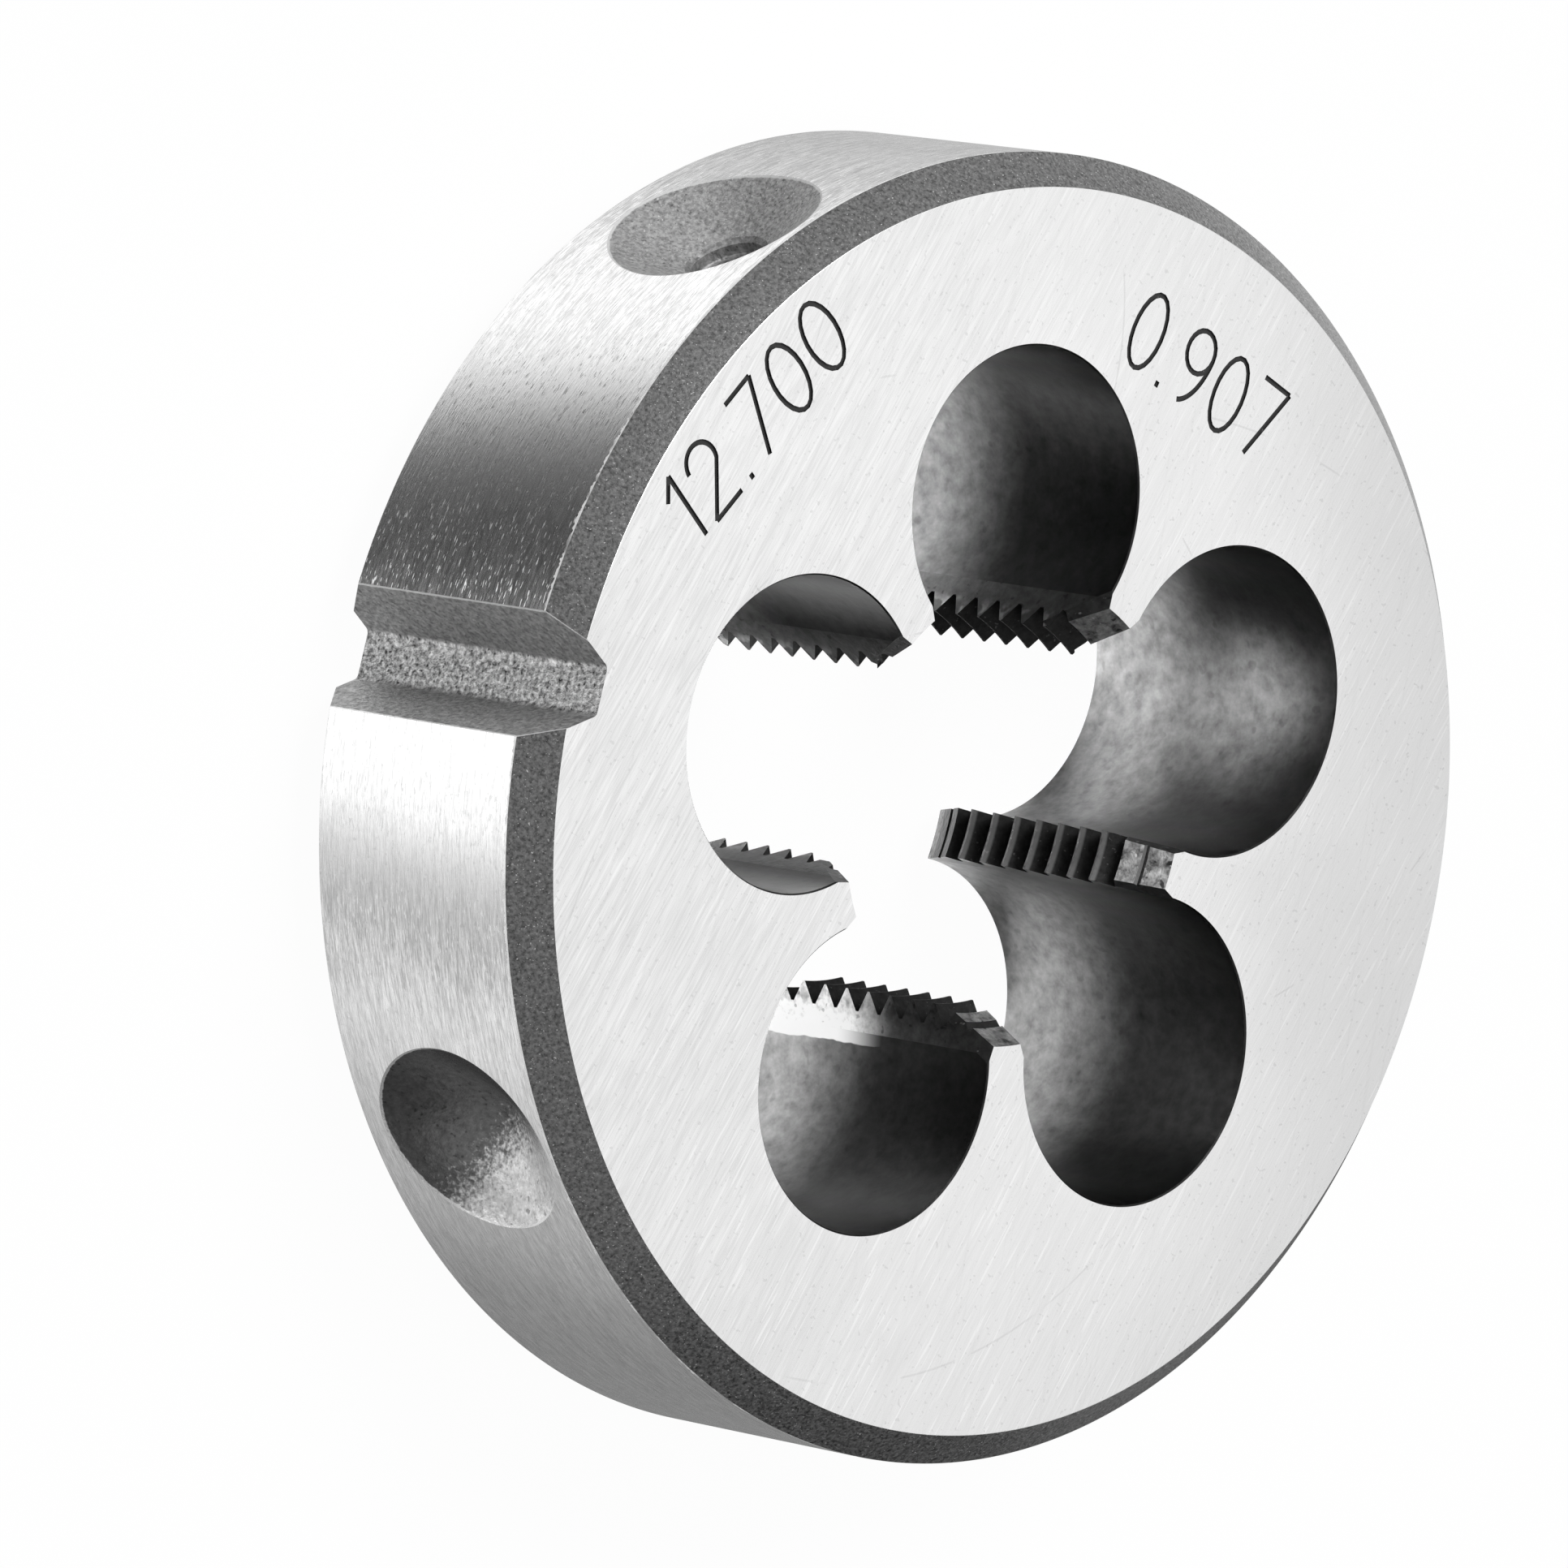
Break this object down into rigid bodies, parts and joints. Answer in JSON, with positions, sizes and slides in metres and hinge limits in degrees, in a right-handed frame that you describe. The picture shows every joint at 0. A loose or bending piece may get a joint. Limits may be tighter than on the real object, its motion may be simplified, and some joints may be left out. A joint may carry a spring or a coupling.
{
  "type": "round threading die",
  "caption": "Round steel die that cuts an outside screw thread: toothed lands between chip holes round a central bore, with a V-groove and dimples in the rim for a stock's screws.",
  "frame": {"origin": "centre of the back face, where the thread axis leaves the die", "axes": "+Z along the thread axis, out through the marked front face, +X along the middle of one land, and the chip hole under the V-groove on -X"},
  "size_m": [0.038, 0.038, 0.01],
  "materials": {
    "die_steel": "hardened tool steel: bright ground faces and rim, dark oxide in the chip holes, the groove and the chamfers"
  },
  "bodies": {
    "root": {"threading_die": "die_steel"}
  },
  "joints": []
}
